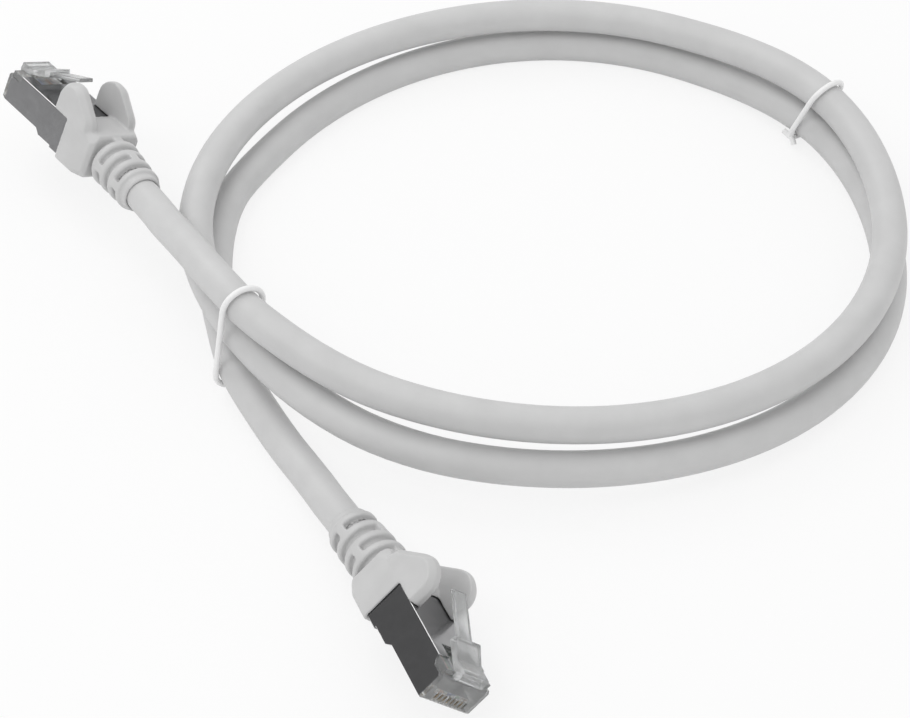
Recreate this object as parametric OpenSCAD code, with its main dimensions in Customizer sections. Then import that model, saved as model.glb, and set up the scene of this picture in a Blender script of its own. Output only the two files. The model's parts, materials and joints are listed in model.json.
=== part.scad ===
// Ethernet patch cable: two shielded 8P8C plugs with moulded boots on a round
// cord, wound into two turns and held by two thin ties.
// Millimetres, +Z up. The cord rests on the plane Z = 0.

/* [Cord] */
// Outside diameter of the jacket
cord_d = 6.5; // [6.2:0.1:6.6]
// Wall of the jacket with the braid bonded inside it
jacket_wall = 0.9; // [0.7:0.05:1]
// Diameter of the foil-wrapped bundle of four pairs
core_d = 4.4; // [4:0.1:4.5]
// Depth of the flat that the cord rests on
flat_depth = 0.65; // [0.4:0.05:0.65]

/* [Coil] */
// Half length of the first turn, which rides on the second one
first_half_length = 65.3; // [64:0.1:67]
// Half breadth of the first turn
first_half_breadth = 57.3; // [56:0.1:58]
// Half length of the second turn, which lies on the floor
second_half_length = 64.3; // [63:0.1:66]
// Half breadth of the second turn
second_half_breadth = 58.6; // [57:0.1:59]
// Height from one layer of the coil to the next
layer_pitch = 7.15; // [7.1:0.05:7.4]
// Part of a turn over which the cord settles from one layer to the next, in degrees
settle_angle = 150; // [130:5:180]
// Rings in one turn of the coil
rings_per_turn = 36; // [32:2:40]

/* [Ties] */
// Thickness of the round plastic tie
tie_d = 1.1; // [0.9:0.1:1.2]
// Slack between a tie and the cord
tie_slack = 0.25; // [0.25:0.05:0.35]

/* [Plug] */
// Width over the shield
plug_w = 11.68; // [11.6:0.02:11.8]
// Height at the nose
nose_h = 6.6; // [6.5:0.05:6.7]
// Height behind the step
rear_h = 8; // [7.9:0.05:8.1]
// Distance from the nose to the step on the contact side
step_x = 11.6; // [11:0.1:12]
// Sheet thickness of the shield
shield_t = 0.2; // [0.15:0.05:0.25]
// Spacing of the eight contacts
contact_pitch = 1.02; // [1.01:0.01:1.03]
// Thickness of a contact blade
contact_t = 0.35; // [0.3:0.05:0.4]

/* [Latch] */
// Width of the latch in front of its shoulders
latch_w = 6.3; // [6:0.05:6.4]
// Width of the tail behind the shoulders
tail_w = 3.3; // [3:0.05:3.4]
// Slope of the latch at rest, in degrees
latch_slope = 22.8; // [21:0.1:24]
// Distance from the nose to the end of the tail
latch_reach = 14.3; // [13.5:0.1:14.5]
// Thickness of the latch arm
latch_t = 0.95; // [0.8:0.05:1]

/* [Boot] */
// Width of the hood
hood_w = 12.8; // [12.6:0.1:13]
// Distance from the nose to the front edge of the hood
hood_front = 19.3; // [19:0.1:19.6]
// Distance from the nose to the back of the hood
hood_back = 27.5; // [27:0.1:28]
// Thickness of an ear
ear_t = 2.5; // [2.4:0.1:2.7]
// Height of an ear over the latch side of the plug
ear_rise = 6.8; // [6.4:0.1:7]
// Length of the flexible tail behind the hood
tail_length = 14.5; // [14:0.1:15]
// Outside diameter where the tail ends
tail_end_d = 8.7; // [8.4:0.1:8.9]

/* [Hidden] */
$fn = 48;

// Small clearance between pieces that slide or nest
fit = 0.04;
over = 1;

// Cord
cord_r = cord_d / 2;
bore_r = cord_r - jacket_wall;
core_r = core_d / 2;
cord_sides = 12;
core_sides = 8;
tie_sides = 8;
wire_sides = 8;
floor_axis = cord_r - flat_depth;

// Coil: each turn is an ellipse with a slight three-cornered swell
first_centre = [18.4, 24.9];
second_centre = [19.6, 21.7];
first_twist = 3;
second_twist = 12;
first_swell = -0.006;
second_swell = -0.017;
first_swell_phase = 7;
second_swell_phase = 19;
start_angle = -152;
coil_from = 2 / 36;
coil_to = 65 / 36;
crossover = 0.1;

// Ties: angle along the turn, heading of the cord there, and how far the
// cord is lifted so that the tie fits under it
tie_lift = cord_r + tie_slack + tie_d + 0.05 - floor_axis;
front_tie_angle = -149;
front_tie_heading = -57;
back_tie_angle = 30;
back_tie_heading = 126;
lift_spread = 34;

// Plug: position of the nose on the cord axis, then roll, pitch and heading,
// then how far the tail of the boot bends towards +Y and +Z of the plug
plug_a = [[-82.4, 57.3, 12.9], [28.6, -1.5, 131.3], [10, 1]];
plug_b = [[1.6, -83.6, 9], [-49.2, -3, -66], [-1, -8]];

// Routes of the two free stretches, between the boot and the coil
route_a = [[-51.8, 16.1, 15.2], [-48.6, 10.5, 16.9], [-45.9, 6.1, 17.8], [-42.9, 1.2, 18.5], [-39.5, -3.8, 18.9],
    [-35.8, -8.7, 18.95], [-32.1, -12.5, 18.6]];
route_b = [[-41, 38.3, 2.6], [-42.8, 32.5, 2.6], [-43.6, 26.7, 2.6], [-43.8, 21.3, 2.7], [-43.6, 15.8, 3], [-42.9, 10.3, 3.5],
    [-41.9, 4.8, 4], [-40.6, -0.7, 4.4], [-39.3, -5.9, 4.6],
    [-37.9, -10.3, 4.6], [-35.4, -15.3, 4.1], [-32.7, -19.9, 3.5], [-30, -24.3, 3], [-27.6, -28.1, 2.8],
    [-24.8, -32.5, 3.1], [-22, -37.4, 4]];

// Plug heights, measured from the cord axis
top_z = 4;
nose_z = top_z - nose_h;
rear_z = top_z - rear_h;
lip_z = rear_z + 0.4;
plug_length = 21.6;
nose_lip = 0.8;
notch_depth = 1.6;
notch_back = 3.8;
lip_top = top_z - 1;
lip_back = 16.6;
skin = shield_t + fit / 2;
body_w = plug_w - 2 * skin;

// Latch
knuckle = [-0.5, top_z - 0.3];
knuckle_r = 1;
shoulder_x = 6.1;
slope_start = [-2.3, top_z + 0.75];
root_front = 0.35;
root_top = top_z + 1;
root_back = 2.6;
shoulder_top = top_z + 2.9;
latch_room_w = latch_w + 0.3;
latch_room_back = 6.8;
latch_room_z = top_z - 0.9;

// Contacts and conductors
contacts = 8;
blade_front = -0.45;
blade_back = -4;
blade_tip_z = nose_z + 0.5;
wire_d = 0.84;
wire_z = -0.5;
wire_room_h = 1.1;
bar_front = -9.6;
bar_back = -13.6;
room_front = -9.5;
core_end = -20.4;
jacket_end = -24.6;

// Boot
hood_wall = 0.8;
ear_front = 14.5;
ear_r = 3.8;
ear_back_r = 3.2;
ear_back = [-22.2, top_z + 0.6];
ear_bevel = 0.8;
tail_pivot = 26.5;
tail_start_r = 5.2;
slot_rows = 4;
row_pitch = 3;
slot_w = 1.4;
slot_depth = 1.2;
slot_from = 1.2;
rib_bevel = 0.3;
bridge_angle = 22;

// ---- Vectors and frames ----

function unit(v) = v / norm(v);
function mix(a, b, t) = a + (b - a) * t;
function clamp01(t) = min(max(t, 0), 1);
function ease(t) = let (u = clamp01(t)) u * u * (3 - 2 * u);
function turn_x(a) = [[1, 0, 0], [0, cos(a), -sin(a)], [0, sin(a), cos(a)]];
function turn_y(a) = [[cos(a), 0, sin(a)], [0, 1, 0], [-sin(a), 0, cos(a)]];
function turn_z(a) = [[cos(a), -sin(a), 0], [sin(a), cos(a), 0], [0, 0, 1]];

// ---- Route of the cord ----

function angle_from(a, b) = abs((a - b + 540) % 360 - 180);
function lift(bearing, tie) = tie_lift * (1 - ease(angle_from(bearing, tie) / lift_spread));
function layer(bearing) = let (way = bearing - front_tie_angle) way < 360
    ? 2 - ease(way / settle_angle)
    : 1 - ease((way - 360) / settle_angle);

// One point of the coil, where turns runs from 0 to 2
function coil_point(turns) =
    let (
        angle = start_angle + 360 * turns,
        m = ease((turns - 1 + crossover) / (2 * crossover)),
        centre = mix(first_centre, second_centre, m),
        twist = mix(first_twist, second_twist, m),
        swell = 1 + mix(first_swell * cos(3 * (angle - first_swell_phase)),
            second_swell * cos(3 * (angle - second_swell_phase)), m),
        x = mix(first_half_length, second_half_length, m) * swell * cos(angle),
        y = mix(first_half_breadth, second_half_breadth, m) * swell * sin(angle),
        bearing = angle + twist,
        z = floor_axis + layer_pitch * layer(bearing)
            + lift(bearing, front_tie_angle) + lift(bearing, back_tie_angle)
    )
    [centre[0] + x * cos(twist) - y * sin(twist), centre[1] + x * sin(twist) + y * cos(twist), z];

// World position of a point given in plug axes, and of one along the boot's tail
function plug_turn(p) = turn_z(p[1][2]) * turn_y(p[1][1]) * turn_x(p[1][0]);
function plug_point(p, v) = p[0] + plug_turn(p) * v;
function tail_point(p, x) =
    plug_point(p, [-tail_pivot, 0, 0] + turn_z(-p[2][0]) * turn_y(p[2][1]) * [-x, 0, 0]);

coil_rings = round((coil_to - coil_from) * rings_per_turn);
coil_turns = [for (i = [0:coil_rings]) coil_point(mix(coil_from, coil_to, i / coil_rings))];

// The coil's ends run straight for one diameter
coil_route = concat([past(coil_turns[1], coil_turns[0])], coil_turns,
    [past(coil_turns[coil_rings - 1], coil_turns[coil_rings])]);
function past(a, b) = b + cord_d * unit(b - a);

function inside(p) = concat(
    [plug_point(p, [jacket_end, 0, 0]), plug_point(p, [jacket_end - 0.9, 0, 0])],
    [for (x = [1, 8, tail_length, tail_length + cord_d]) tail_point(p, x)]);
function reversed(v) = [for (i = [len(v) - 1:-1:0]) v[i]];

lead_a_route = concat(inside(plug_a), route_a);
lead_b_route = concat(route_b, reversed(inside(plug_b)));
whole_route = concat(lead_a_route, coil_route, lead_b_route);
core_route = concat([plug_point(plug_a, [core_end, 0, 0])], whole_route, [plug_point(plug_b, [core_end, 0, 0])]);
first_coil_ring = len(lead_a_route);
last_coil_ring = first_coil_ring + len(coil_route) - 1;

// ---- Swept tubes ----

function tangent(route, i) =
    unit(route[min(i + 1, len(route) - 1)] - route[max(i - 1, 0)]);
function ring(route, i, r, sides) =
    let (t = tangent(route, i), side = unit([t[1], -t[0], 0]), up = cross(side, t))
    [for (k = [0:sides - 1]) let (a = 360 * k / sides) route[i] + r * (cos(a) * side + sin(a) * up)];
function rings(route, from, to, r, sides) = [for (i = [from:to]) each ring(route, i, r, sides)];
function above_floor(points) = [for (q = points) [q[0], q[1], max(q[2], 0)]];
function wall(count, sides, base, inward) =
    [for (i = [0:count - 2], k = [0:sides - 1])
        let (a = base + i * sides + k, b = base + i * sides + (k + 1) % sides)
        each inward ? [[a, a + sides, b], [b, a + sides, b + sides]]
                    : [[a, b, a + sides], [b, b + sides, a + sides]]];
function annulus(sides, outer, inner, flip) =
    [for (k = [0:sides - 1])
        let (n = (k + 1) % sides, a = outer + k, b = outer + n, c = inner + k, d = inner + n)
        each flip ? [[a, b, c], [b, d, c]] : [[a, c, b], [b, c, d]]];
function disc(sides, base, flip) =
    [for (k = [1:sides - 2]) flip ? [base, base + k, base + k + 1] : [base, base + k + 1, base + k]];

// Hollow tube along the rings from..to of a route
module jacket(route, from, to) {
    count = to - from + 1;
    inner = count * cord_sides;
    last = (count - 1) * cord_sides;
    polyhedron(
        points = concat(
            above_floor(rings(route, from, to, cord_r, cord_sides)),
            rings(route, from, to, bore_r, cord_sides)),
        faces = concat(wall(count, cord_sides, 0, false), wall(count, cord_sides, inner, true),
            annulus(cord_sides, 0, inner, false), annulus(cord_sides, last, inner + last, true)),
        convexity = 20);
}

// Solid tube along a whole route
module strand(route, r, sides) {
    count = len(route);
    polyhedron(
        points = rings(route, 0, count - 1, r, sides),
        faces = concat(wall(count, sides, 0, false), disc(sides, 0, false), disc(sides, (count - 1) * sides, true)),
        convexity = 20);
}

// Least gap of the coil to itself, from each point of its route to the runs
// that lie more than a quarter of a turn away
function run_gap(p, a, b) =
    let (t = clamp01((p - a) * (b - a) / ((b - a) * (b - a)))) norm(p - mix(a, b, t));
function least_gap(route) =
    min([for (i = [0:len(route) - 1], j = [0:len(route) - 2])
        if (abs(i - j) > rings_per_turn / 4) run_gap(route[i], route[j], route[j + 1])]) - cord_d;
function route_length(route) =
    [for (i = [1:len(route) - 1]) norm(route[i] - route[i - 1])] * [for (i = [1:len(route) - 1]) 1];
echo(str("Least gap of the coil to itself, mm: ", least_gap(coil_route)));
echo(str("Least gap of the whole cord to itself, mm: ", least_gap(whole_route)));
echo(str("Length of the jacket, mm: ", route_length(whole_route)));

// ---- Ties ----

// Path of a tight loop around round cords, whose centres go round anticlockwise
function loop_path(centres, r) = let (count = len(centres))
    [for (i = [0:count - 1])
        let (
            before = centres[i] - centres[(i + count - 1) % count],
            after = centres[(i + 1) % count] - centres[i],
            from = atan2(before[1], before[0]) - 90,
            bend = (atan2(after[1], after[0]) - 90 - from + 720) % 360,
            steps = ceil(bend / 20)
        )
        for (k = [0:steps]) let (a = from + bend * k / steps) centres[i] + r * [cos(a), sin(a)]];

// Closed tube of round plastic along a flat path
module closed_tube(path, r, sides) {
    count = len(path);
    function outward(i) =
        let (t = path[(i + 1) % count] - path[(i + count - 1) % count]) [t[1], -t[0]] / norm(t);
    polyhedron(
        points = [for (i = [0:count - 1], k = [0:sides - 1])
            let (a = 360 * k / sides, q = path[i] + r * cos(a) * outward(i)) [q[0], q[1], r * sin(a)]],
        faces = [for (i = [0:count - 1], k = [0:sides - 1])
            let (m = (i + 1) % count, n = (k + 1) % sides)
            each [[i * sides + k, i * sides + n, m * sides + k], [i * sides + n, m * sides + n, m * sides + k]]],
        convexity = 6);
}

// Loop around cords, closed by a twist whose two ends stand out along the cords.
// Its plane has a heading, and leans so that it runs through the first and last
// cord; the twist stands beside one of the cords, at an angle in that plane.
module tie(cords, heading, twist_cord, twist_angle) {
    last = cords[len(cords) - 1];
    middle = (cords[0] + last) / 2;
    along = [cos(heading), sin(heading), 0];
    across = [-sin(heading), cos(heading), 0];
    lean = len(cords) > 2 ? 0 : atan(((last - cords[0]) * along) / (last[2] - cords[0][2]));
    up = [0, 0, cos(lean)] + sin(lean) * along;
    flat = [for (c = cords) [(c - middle) * across, (c - middle) * up]];
    out = [cos(twist_angle), sin(twist_angle)];
    twist = flat[twist_cord] + (cord_r + tie_slack + 0.9 * tie_d) * out;
    function twist_point(away, rise, z) = let (q = twist + away * out) [q[0], q[1] + rise, z];
    color("white")
    translate(middle) rotate([90 + lean, 0, heading + 90]) {
        closed_tube(loop_path(flat, 0.6 * cord_r / cos(lean) + 0.4 * cord_r + tie_slack + tie_d / 2), tie_d / 2, tie_sides);
        strand([twist_point(0.5, 0.4, 1.9), twist_point(0.1, 0, 0.5), twist_point(0, 0, -0.5), twist_point(0.3, -0.4, -1.7)],
            0.6 * tie_d, tie_sides);
    }
}

// ---- Plug pieces, in plug axes: nose at X = 0, cord towards -X, latch on +Z ----

module at_plug(p) {
    translate(p[0]) rotate(p[1]) children();
}

// Side profile extruded over a width
module slab(points, width) {
    rotate([90, 0, 0]) linear_extrude(width, center = true) polygon(points);
}

module bar(x0, x1, y0, y1, z0, z1) {
    translate([min(x0, x1), y0, z0]) cube([abs(x1 - x0), y1 - y0, z1 - z0]);
}

// Outline of the plug from the side, drawn in by a margin all round
function plug_profile(margin, front, back) = [
    [-front, top_z - margin], [-back, top_z - margin], [-back, rear_z + margin],
    [-lip_back, rear_z + margin], [-lip_back, lip_z + margin],
    [-step_x - 1.2, lip_z + margin], [-step_x, nose_z + margin], [-front, nose_z + margin]];

module plug_body() {
    color([0.78, 0.8, 0.8, 0.6])
    difference() {
        union() {
            slab(plug_profile(skin, nose_lip, plug_length), body_w);
            slab([[0, nose_z + 0.5], [0, lip_top - 0.4], [-0.4, lip_top], [-nose_lip, lip_top],
                [-nose_lip, nose_z], [-0.5, nose_z]], plug_w);
        }
        // Room under the latch, and the round recess of its root
        bar(over, -latch_room_back, -latch_room_w / 2, latch_room_w / 2, latch_room_z, top_z + over);
        translate([knuckle[0], 0, knuckle[1]]) rotate([90, 0, 0])
            cylinder(r = knuckle_r + fit, h = latch_room_w, center = true);
        // Slots of the contacts
        for (i = [0:contacts - 1])
            bar(over, blade_back - fit, contact_y(i) - contact_t / 2 - fit, contact_y(i) + contact_t / 2 + fit,
                nose_z - over, wire_z);
        // Flat room for the conductors, and the larger one for the load bar
        bar(-1.2, room_front - over, -contacts / 2 * contact_pitch, contacts / 2 * contact_pitch,
            wire_z - wire_room_h / 2, wire_z + wire_room_h / 2);
        bar(room_front, -plug_length - over, -4.8, 4.8, -2.9, 2.9);
    }
}

function contact_y(i) = (i - (contacts - 1) / 2) * contact_pitch;

// Gold blade with two prongs that stand in the conductor
module blade(grow) {
    slab([[blade_front + grow, blade_tip_z + 0.5], [blade_front + grow, wire_z - 0.1 + grow], [-1.3 - grow, wire_z - 0.1 + grow],
        [-1.3 - grow, wire_z - 0.6], [-2.6 + grow, wire_z - 0.6], [-2.6 + grow, wire_z - 0.1 + grow],
        [blade_back - grow, wire_z - 0.1 + grow], [blade_back - grow, blade_tip_z + 0.9], [-3.6, blade_tip_z],
        [blade_front - 0.4, blade_tip_z]], contact_t + 2 * grow);
}

module contacts_row() {
    color("gold")
    for (i = [0:contacts - 1]) translate([0, contact_y(i), 0]) blade(0);
}

module load_bar() {
    color("whitesmoke")
    difference() {
        bar(bar_front, bar_back, -4.7, 4.7, wire_z - 1.5, wire_z + 1.5);
        for (i = [0:contacts - 1])
            translate([bar_back - over, contact_y(i), wire_z]) rotate([0, 90, 0])
                cylinder(d = wire_d + 2 * fit, h = bar_front - bar_back + 2 * over, $fn = 24);
        for (side = [-1, 1])
            translate([bar_front, side * 4.7, wire_z]) rotate([0, 0, 45]) cube([1, 1, 4], center = true);
    }
}

// Where a conductor meets the end of the core: two rows of four
function core_y(i) = (i - (contacts - 1) / 2) * 0.46;
function core_z(i) = i % 2 == 0 ? 0.85 : -0.85;

module conductors() {
    colours = ["orange", "darkorange", "limegreen", "blue", "royalblue", "green", "peru", "saddlebrown"];
    for (i = [0:contacts - 1])
        color(colours[i])
        difference() {
            strand([[-1.3, contact_y(i), wire_z], [bar_back - 0.3, contact_y(i), wire_z],
                [core_end + 1.3, core_y(i), core_z(i)], [core_end + 0.05, core_y(i), core_z(i)]], wire_d / 2, wire_sides);
            translate([0, contact_y(i), 0]) blade(fit / 2);
        }
}

module shield() {
    notch_z = top_z - notch_depth;
    color("silver")
    difference() {
        slab(plug_profile(0, nose_lip + fit, plug_length), plug_w);
        slab(plug_profile(shield_t, nose_lip - over, plug_length + over), plug_w - 2 * shield_t);
        // Open contact side in front of the step
        bar(over, -step_x + 0.4, -plug_w / 2 + shield_t, plug_w / 2 - shield_t, nose_z - over, nose_z + over);
        // Notch over the nose, across the whole width
        slab([[over, notch_z - 0.35], [-nose_lip, notch_z - 0.35], [-nose_lip - 0.4, notch_z],
            [-notch_back + 0.9, notch_z], [-notch_back + 0.3, notch_z + 0.6], [-notch_back, top_z - 0.35],
            [-notch_back, top_z + over], [over, top_z + over]], 2 * plug_w);
        // Window under the latch
        bar(0, -latch_room_back, -latch_room_w / 2, latch_room_w / 2, top_z - over, top_z + over);
    }
}

// Latch: square root on a round knuckle, wide arm with two shoulders, narrow tail
module latch() {
    run = latch_reach + slope_start[0];
    tail_top = [-latch_reach, slope_start[1] + run * tan(latch_slope)];
    normal = [sin(latch_slope), cos(latch_slope)];
    shoulder = [-shoulder_x, slope_start[1] + (shoulder_x + slope_start[0]) * tan(latch_slope)];
    color([0.8, 0.82, 0.82, 0.6])
    union() {
        translate([knuckle[0], 0, knuckle[1]]) rotate([90, 0, 0]) cylinder(r = knuckle_r, h = latch_w, center = true);
        slab([[root_front, knuckle[1] - 0.4], [root_front, root_top - 0.2], [root_front - 0.2, root_top],
            [-root_back, root_top], [-shoulder_x, shoulder_top], shoulder - [0.3, 0.5],
            shoulder - latch_t * normal, slope_start - latch_t * normal, knuckle - [0.5, 0.4]], latch_w);
        slab([slope_start, tail_top, tail_top - 0.8 * latch_t * normal, slope_start - latch_t * normal], tail_w);
    }
}

// Split band that clamps the folded braid
module crimp_collar() {
    color("gainsboro")
    difference() {
        translate([-24.3, 0, 0]) rotate([0, 90, 0]) cylinder(r = 3.05, h = 2.6);
        translate([-25, 0, 0]) rotate([0, 90, 0]) cylinder(r = 2.8, h = 4);
        bar(-25, -21, -0.25, 0.25, 0, 4);
    }
}

// End of the braid, laid around the core where the jacket is stripped
module braid_end() {
    color("lightgray")
    difference() {
        translate([-24.5, 0, 0]) rotate([0, 90, 0]) cylinder(r = 2.75, h = 3.4);
        translate([-25, 0, 0]) rotate([0, 90, 0]) cylinder(r = core_r + fit, h = 5);
    }
}

// ---- Boot ----

// Side outline of one ear, drawn in by a margin all round
module ear_outline(margin) {
    top = top_z + ear_rise;
    hull() {
        translate([-ear_front - ear_r, top - ear_r]) circle(r = ear_r - margin);
        translate(ear_back) circle(r = ear_back_r - margin);
        translate([ear_back[0] - ear_back_r + margin, 0])
            square([-ear_front - ear_back[0] + ear_back_r - 2 * margin, 1]);
    }
}

// Ear with a bevelled rim on its outer side, standing on the hood
module ear(side) {
    inner = hood_w / 2 - ear_t;
    function layer_y(thickness) = side > 0 ? inner + thickness : -inner;
    intersection() {
        hull() {
            translate([0, layer_y(ear_t / 2), 0]) rotate([90, 0, 0]) linear_extrude(ear_t / 2) ear_outline(0);
            translate([0, layer_y(ear_t - fit), 0]) rotate([90, 0, 0]) linear_extrude(ear_t - fit) ear_outline(ear_bevel);
        }
        slab([[-10, top_z + 0.05], [-10, 20], [-30, 20], [-30, top_z + 0.3], [-hood_front - 0.2, top_z + 0.3],
            [-hood_front - 0.2, top_z + 0.05]], 2 * hood_w);
    }
}

// Hood: rounded box around the back of the plug, with a low front lip between
// the ears and corners that grow rounder towards the tail
module hood() {
    low = rear_z - hood_wall;
    high = top_z + hood_wall;
    half = hood_w / 2;
    corner = 1;
    lip = high - 0.55;
    turn_in = hood_back - 0.7;
    difference() {
        intersection() {
            rotate([0, -90, 0]) translate([0, 0, hood_front]) linear_extrude(hood_back - hood_front) union() {
                translate([low, -half + corner]) square([high - low, hood_w - 2 * corner]);
                translate([low + corner, -half]) square([high - low - 2 * corner, hood_w]);
                for (y = [-1, 1], z = [low + corner, high - corner]) translate([z, y * (half - corner)]) circle(r = corner);
            }
            linear_extrude(30, center = true)
                polygon([[-hood_front, -half], [-hood_front, half], [-22.5, half], [-turn_in, half - 0.4],
                    [-hood_back, half - 1.1], [-hood_back, 1.1 - half], [-turn_in, 0.4 - half], [-22.5, -half]]);
            slab([[-hood_front, low], [-22.5, low], [-turn_in, low + 0.3], [-hood_back, low + 0.9],
                [-hood_back, high - 0.5], [-hood_back + 0.5, high], [-hood_front, high]], 2 * hood_w);
            translate([-hood_front + 0.1, 0, 0]) rotate([0, -90, 0])
                cylinder(h = hood_back - hood_front + 0.2, r1 = 1.5 * half, r2 = half - 0.05);
        }
        slab([[-hood_front + over, lip], [-hood_front, lip], [-hood_front - 1.9, high],
            [-hood_front - 1.9, high + over], [-hood_front + over, high + over]], hood_w - 2 * ear_t + 0.3);
    }
}

// Flexible tail: a tapering sleeve with rows of slots between its ribs. The
// first row is open to the hood, which two bridges join to the first rib.
module boot_tail() {
    function taper(x) = mix(tail_start_r, tail_end_d / 2, x / tail_length);
    first = slot_from + slot_w;
    last = slot_from + (slot_rows - 1) * row_pitch + slot_w;
    neck = taper(first) - slot_depth;
    rotate([0, -90, 0])
    difference() {
        union() {
            // Sleeve, with a lower step at its end
            rotate_extrude($fn = 48)
                polygon([[0, -1.5], [neck, -1.5], [neck, first], [taper(first) - rib_bevel, first],
                    [taper(first + rib_bevel), first + rib_bevel], [taper(last + 1.2), last + 1.2],
                    [taper(last + 1.2) - 0.5, last + 1.5], [taper(tail_length) - 0.5, tail_length - 0.3],
                    [taper(tail_length) - 0.7, tail_length], [0, tail_length]]);
            translate([-neck - 0.65, -1, 0]) cube([2 * neck + 1.3, 2, first + 0.8]);
        }
        for (row = [1:slot_rows - 1]) {
            from = slot_from + row * row_pitch;
            r = taper(from + slot_w / 2);
            for (half = [0, 1])
                rotate(half * 180 + (row % 2) * 90 + bridge_angle / 2)
                    rotate_extrude(angle = 180 - bridge_angle, $fn = 48)
                        polygon([[r - slot_depth, from], [r - rib_bevel, from], [r + over, from - rib_bevel - over],
                            [r + over, from + slot_w + rib_bevel + over], [r - rib_bevel, from + slot_w],
                            [r - slot_depth, from + slot_w]]);
        }
    }
}

module boot(bend) {
    color("gainsboro")
    difference() {
        union() {
            hood();
            for (side = [-1, 1]) ear(side);
            translate([-tail_pivot, 0, 0]) rotate([0, bend[1], -bend[0]]) boot_tail();
        }
        // Room for the back of the plug and the crimp
        bar(-hood_front + over, -plug_length - 0.1, -plug_w / 2 - fit, plug_w / 2 + fit, rear_z - fit, top_z + fit);
        bar(-plug_length, -tail_pivot + 1, -4.4, 4.4, -3.4, 3.4);
        // Bore of the cord
        translate([-tail_pivot, 0, 0]) rotate([0, bend[1] - 90, -bend[0]])
            translate([0, 0, -3]) cylinder(r = cord_r + fit, h = tail_length + 4);
    }
}

// ---- Nodes ----

module cable_coil() {
    color("lightgray") jacket(whole_route, first_coil_ring, last_coil_ring);
}

module cable_lead_a() {
    color("lightgray") jacket(whole_route, 0, first_coil_ring);
}

module cable_lead_b() {
    color("lightgray") jacket(whole_route, last_coil_ring, len(whole_route) - 1);
}

module cable_core() {
    color("darkgray") strand(core_route, core_r, core_sides);
}

module tie_front() {
    tie([route_b[9], coil_point(0.99), route_a[5]], front_tie_heading, 1, 0);
}

module tie_back() {
    tie([coil_point(1.485), coil_point(0.5)], back_tie_heading, 0, -35);
}

cable_coil();
cable_lead_a();
cable_lead_b();
cable_core();
tie_front();
tie_back();
at_plug(plug_a) boot(plug_a[2]);  // boot_a
at_plug(plug_a) plug_body();  // plug_body_a
at_plug(plug_a) latch();  // latch_a
at_plug(plug_a) shield();  // shield_a
at_plug(plug_a) contacts_row();  // contacts_a
at_plug(plug_a) load_bar();  // load_bar_a
at_plug(plug_a) conductors();  // conductors_a
at_plug(plug_a) crimp_collar();  // crimp_collar_a
at_plug(plug_a) braid_end();  // braid_end_a
at_plug(plug_b) boot(plug_b[2]);  // boot_b
at_plug(plug_b) plug_body();  // plug_body_b
at_plug(plug_b) latch();  // latch_b
at_plug(plug_b) shield();  // shield_b
at_plug(plug_b) contacts_row();  // contacts_b
at_plug(plug_b) load_bar();  // load_bar_b
at_plug(plug_b) conductors();  // conductors_b
at_plug(plug_b) crimp_collar();  // crimp_collar_b
at_plug(plug_b) braid_end();  // braid_end_b
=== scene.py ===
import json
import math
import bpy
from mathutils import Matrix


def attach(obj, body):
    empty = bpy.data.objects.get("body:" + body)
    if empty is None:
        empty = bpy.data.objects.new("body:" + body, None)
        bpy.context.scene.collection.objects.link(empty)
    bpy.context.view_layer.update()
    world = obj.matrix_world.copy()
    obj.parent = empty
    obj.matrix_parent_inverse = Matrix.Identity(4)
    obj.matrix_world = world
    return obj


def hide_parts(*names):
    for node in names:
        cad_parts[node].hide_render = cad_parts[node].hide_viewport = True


bl_info = {
    "name": "Ethernet patch cable",
    "version": (1, 0, 0),
    "blender": (4, 5, 0),
    "location": "3D View > Sidebar > Patch cable",
    "description": "Makes a coiled ethernet patch cable with two shielded plugs, moulded boots and two ties",
    "category": "Object",
}

import bmesh
import bpy
from bpy.props import FloatProperty, FloatVectorProperty, IntProperty, PointerProperty
from mathutils import Matrix, Vector

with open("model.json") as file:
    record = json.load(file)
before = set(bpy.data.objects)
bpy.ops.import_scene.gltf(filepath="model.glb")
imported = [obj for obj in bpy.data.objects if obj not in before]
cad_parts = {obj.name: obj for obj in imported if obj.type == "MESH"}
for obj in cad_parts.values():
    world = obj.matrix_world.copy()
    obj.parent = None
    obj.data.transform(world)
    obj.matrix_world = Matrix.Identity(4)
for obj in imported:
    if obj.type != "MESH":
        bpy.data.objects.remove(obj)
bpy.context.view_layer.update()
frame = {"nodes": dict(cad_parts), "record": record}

MM = 0.001
SIDES = ("a", "b")

# Sockets of a Mix node that mixes colours
MIX_FACTOR, MIX_FIRST, MIX_SECOND, MIX_RESULT = 0, 6, 7, 2

# The route of the cord in millimetres and degrees, as in the solid model: the two
# free stretches between boot and coil, and the shape of the two turns
ROUTE_A = (
    (-51.8, 16.1, 15.2), (-48.6, 10.5, 16.9), (-45.9, 6.1, 17.8), (-42.9, 1.2, 18.5), (-39.5, -3.8, 18.9),
    (-35.8, -8.7, 18.95), (-32.1, -12.5, 18.6),
)
ROUTE_B = (
    (-41, 38.3, 2.6), (-42.8, 32.5, 2.6), (-43.6, 26.7, 2.6), (-43.8, 21.3, 2.7), (-43.6, 15.8, 3),
    (-42.9, 10.3, 3.5), (-41.9, 4.8, 4), (-40.6, -0.7, 4.4), (-39.3, -5.9, 4.6), (-37.9, -10.3, 4.6),
    (-35.4, -15.3, 4.1), (-32.7, -19.9, 3.5), (-30, -24.3, 3), (-27.6, -28.1, 2.8), (-24.8, -32.5, 3.1),
    (-22, -37.4, 4),
)
FIRST_TURN = {"centre": (18.4, 24.9), "half": (65.3, 57.3), "twist": 3, "swell": -0.006, "phase": 7}
SECOND_TURN = {"centre": (19.6, 21.7), "half": (64.3, 58.6), "twist": 12, "swell": -0.017, "phase": 19}
LOBES = 3
START_ANGLE = -152
RINGS_PER_TURN = 36
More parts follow.
